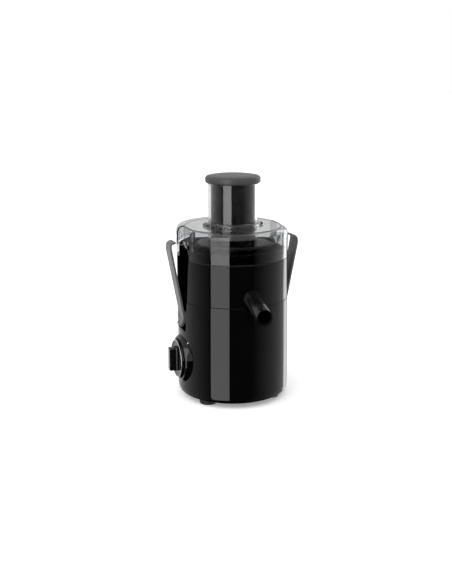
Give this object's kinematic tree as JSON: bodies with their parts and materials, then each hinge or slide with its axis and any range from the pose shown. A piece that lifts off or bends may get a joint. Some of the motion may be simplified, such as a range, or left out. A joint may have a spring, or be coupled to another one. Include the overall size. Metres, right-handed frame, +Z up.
{
  "type": "centrifugal juicer",
  "caption": "Centrifugal juicer: glossy motor base with speed dial, juice collector with spout, sieve, clear lid with feed tube and pusher, side clamps, pulp container.",
  "frame": {"origin": "centre of the rest-pose bounding box in plan, on the plane the feet stand on", "axes": "+Z up, -Y towards the pouring spout (front), -X towards the speed dial; the motor axis is 17.2 mm behind the origin"},
  "size_m": [0.204, 0.2285, 0.3373],
  "materials": {
    "gloss_black": "high gloss black moulding",
    "satin_black": "satin black moulding",
    "clamp_grey": "satin mid grey moulding",
    "cap_grey": "fine satin grey moulding",
    "pusher_grey": "dark grey moulding",
    "clear_plastic": "clear moulded plastic",
    "steel": "plain steel",
    "motor_iron": "laminated iron",
    "bracket_metal": "die cast bracket",
    "copper": "enamelled copper",
    "brass": "plain brass",
    "rubber": "moulded rubber",
    "silver_plastic": "silver lacquered plastic",
    "white_plastic": "natural white nylon",
    "circuit_board": "green circuit board"
  },
  "bodies": {
    "housing": {"motor_housing": "gloss_black", "base_plate": "satin_black", "foot_front_left": "rubber", "foot_front_right": "rubber", "foot_rear_left": "rubber", "foot_rear_right": "rubber", "base_screw_front_left": "steel", "base_screw_front_right": "steel", "base_screw_rear_left": "steel", "base_screw_rear_right": "steel", "stator_core": "motor_iron", "field_coil_left": "copper", "field_coil_right": "copper", "upper_bracket": "bracket_metal", "lower_bracket": "bracket_metal", "bearing_upper": "steel", "bearing_lower": "steel", "motor_mount_ring": "rubber", "brush_holder_front": "brass", "brush_holder_rear": "brass", "shaft_seal": "rubber", "rotary_switch": "white_plastic", "speed_board": "circuit_board", "interlock_switch": "white_plastic", "dial_bezel": "gloss_black", "cord_gland": "rubber", "clamp_pin_left": "steel", "clamp_pin_right": "steel"},
    "rotor": {"motor_shaft": "steel", "armature_core": "motor_iron", "commutator": "copper", "cooling_fan": "satin_black", "drive_coupling": "satin_black"},
    "collector": {"juice_collector": "gloss_black", "pouring_spout": "gloss_black", "drive_collar": "satin_black"},
    "sieve": {"sieve_mesh": "steel", "sieve_rim": "satin_black", "grater_disc": "steel", "sieve_hub": "satin_black", "grater_nut": "steel"},
    "lid": {"lid": "clear_plastic", "feed_tube": "clear_plastic"},
    "pusher": {"pusher_body": "pusher_grey", "pusher_cap": "cap_grey"},
    "clamp_left": {"clamp_left": "clamp_grey"},
    "clamp_right": {"clamp_right": "clamp_grey"},
    "knob": {"knob_skirt": "gloss_black", "knob_shaft": "steel", "knob_grip": "gloss_black", "knob_insert": "silver_plastic"},
    "container": {"pulp_container": "gloss_black"}
  },
  "joints": [
    {"name": "motor_spin", "type": "hinge", "parent": "housing", "child": "rotor", "pos_m": [0, 0.0172, 0.1], "axis": [0, 0, 1], "continuous": true},
    {"name": "collector_lift", "type": "slide", "parent": "housing", "child": "collector", "axis": [0, 0, 1], "range_m": [0, 0.12]},
    {"name": "sieve_spin", "type": "hinge", "parent": "collector", "child": "sieve", "pos_m": [0, 0.0172, 0.186], "axis": [0, 0, 1], "continuous": true},
    {"name": "lid_lift", "type": "slide", "parent": "collector", "child": "lid", "axis": [0, 0, 1], "range_m": [0, 0.12]},
    {"name": "pusher_slide", "type": "slide", "parent": "lid", "child": "pusher", "axis": [0, 0, 1], "range_m": [0, 0.13]},
    {"name": "clamp_left_swing", "type": "hinge", "parent": "housing", "child": "clamp_left", "pos_m": [-0.0765, 0.0172, 0.129], "axis": [0, -1, 0], "range_deg": [-10.5, 22]},
    {"name": "clamp_right_swing", "type": "hinge", "parent": "housing", "child": "clamp_right", "pos_m": [0.0765, 0.0172, 0.129], "axis": [0, 1, 0], "range_deg": [-10.5, 22]},
    {"name": "knob_turn", "type": "hinge", "parent": "housing", "child": "knob", "pos_m": [-0.08, 0.0172, 0.062], "axis": [1, 0, 0], "range_deg": [-40, 80]},
    {"name": "container_draw", "type": "slide", "parent": "housing", "child": "container", "axis": [0, 1, 0], "range_m": [0, 0.1]}
  ],
  "couplings": [
    {"joint": "sieve_spin", "follows": "motor_spin", "ratio": 1}
  ]
}
